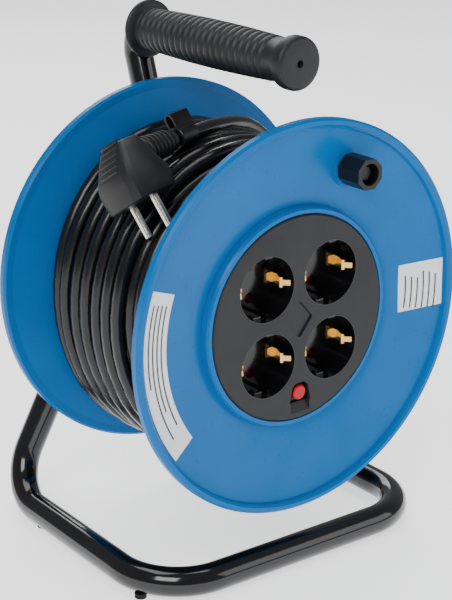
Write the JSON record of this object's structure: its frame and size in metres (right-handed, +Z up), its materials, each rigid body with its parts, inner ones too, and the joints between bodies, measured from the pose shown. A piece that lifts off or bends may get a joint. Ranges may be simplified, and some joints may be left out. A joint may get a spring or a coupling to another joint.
{
  "type": "extension cord reel",
  "caption": "Cable drum with earthed socket outlets in its front face, turning on a bent tube stand with a ribbed carrying grip; the coiled cable ends in an angled plug.",
  "frame": {"origin": "on the floor, under the middle of the stand's length and width", "axes": "+Z up, sockets face -Y, the drum turns about a line along Y, X to the right as seen from the sockets"},
  "size_m": [0.235, 0.1921, 0.3194],
  "materials": {
    "black_paint": "gloss black stove enamel",
    "zinc_steel": "zinc plated",
    "grip_rubber": "satin, moulded",
    "foot_rubber": "matt",
    "blue_plastic": "injection moulded, glossy",
    "nylon": "natural nylon",
    "panel_plastic": "fine matt texture",
    "socket_plastic": "glossy black",
    "red_plastic": "glossy red",
    "brass": "bright stamped brass",
    "carrier_plastic": "matt",
    "badge_plastic": "matt, blank inlay",
    "black_plastic": "satin black",
    "pin_metal": "nickel plated",
    "label_paper": "white film label, blank",
    "cable_black": "satin black PVC",
    "plug_rubber": "satin moulded"
  },
  "bodies": {
    "frame": {"base_tube": "black_paint", "handle_tube": "black_paint", "tube_end_caps": "black_plastic", "handle_grip": "grip_rubber", "hub_plate": "black_paint", "axle": "zinc_steel", "axle_washer": "zinc_steel", "axle_screw": "zinc_steel", "foot_pads": "foot_rubber"},
    "knob": {"crank_knob": "black_plastic"},
    "button": {"reset_button": "red_plastic"},
    "shutter_1": {"shutter_1": "red_plastic"},
    "shutter_2": {"shutter_2": "red_plastic"},
    "shutter_3": {"shutter_3": "red_plastic"},
    "shutter_4": {"shutter_4": "red_plastic"},
    "drum": {"drum_screws": "zinc_steel", "panel_screws": "zinc_steel", "crank_pin": "zinc_steel", "crank_nut": "zinc_steel", "front_flange": "blue_plastic", "drum_barrel": "blue_plastic", "rear_flange": "blue_plastic", "hub_bush": "nylon", "socket_panel": "panel_plastic", "centre_badge": "badge_plastic", "socket_cup_1": "socket_plastic", "earth_clip_1": "brass", "socket_cup_2": "socket_plastic", "earth_clip_2": "brass", "socket_cup_3": "socket_plastic", "earth_clip_3": "brass", "socket_cup_4": "socket_plastic", "earth_clip_4": "brass", "live_bar": "brass", "neutral_bar": "brass", "earth_bar": "brass", "contact_carrier": "carrier_plastic", "back_cover": "black_plastic", "breaker_body": "black_plastic", "rating_label": "label_paper", "side_label": "label_paper", "cable_winding": "cable_black", "inner_lead": "cable_black", "cable_tail": "cable_black", "cable_gland": "foot_rubber", "plug_body": "plug_rubber", "plug_boot": "plug_rubber", "plug_pins": "pin_metal", "cable_clip": "black_plastic"}
  },
  "joints": [
    {"name": "drum_spin", "type": "hinge", "parent": "frame", "child": "drum", "pos_m": [0, 0, 0.1561], "axis": [0, 1, 0], "continuous": true},
    {"name": "knob_spin", "type": "hinge", "parent": "drum", "child": "knob", "pos_m": [0.03259, -0.0921, 0.24054], "axis": [0, 1, 0], "continuous": true},
    {"name": "reset_press", "type": "slide", "parent": "drum", "child": "button", "axis": [0, 1, 0], "range_m": [0, 0.003], "stiffness_N_per_m": 400, "springref_m": -0.002},
    {"name": "shutter_1_slide", "type": "slide", "parent": "drum", "child": "shutter_1", "axis": [0.9991, 0, 0.0419], "range_m": [0, 0.0075], "stiffness_N_per_m": 60, "springref_m": -0.002},
    {"name": "shutter_2_slide", "type": "slide", "parent": "drum", "child": "shutter_2", "axis": [0.9991, 0, 0.0419], "range_m": [0, 0.0075], "stiffness_N_per_m": 60, "springref_m": -0.002},
    {"name": "shutter_3_slide", "type": "slide", "parent": "drum", "child": "shutter_3", "axis": [0.9991, 0, 0.0419], "range_m": [0, 0.0075], "stiffness_N_per_m": 60, "springref_m": -0.002},
    {"name": "shutter_4_slide", "type": "slide", "parent": "drum", "child": "shutter_4", "axis": [0.9991, 0, 0.0419], "range_m": [0, 0.0075], "stiffness_N_per_m": 60, "springref_m": -0.002}
  ]
}
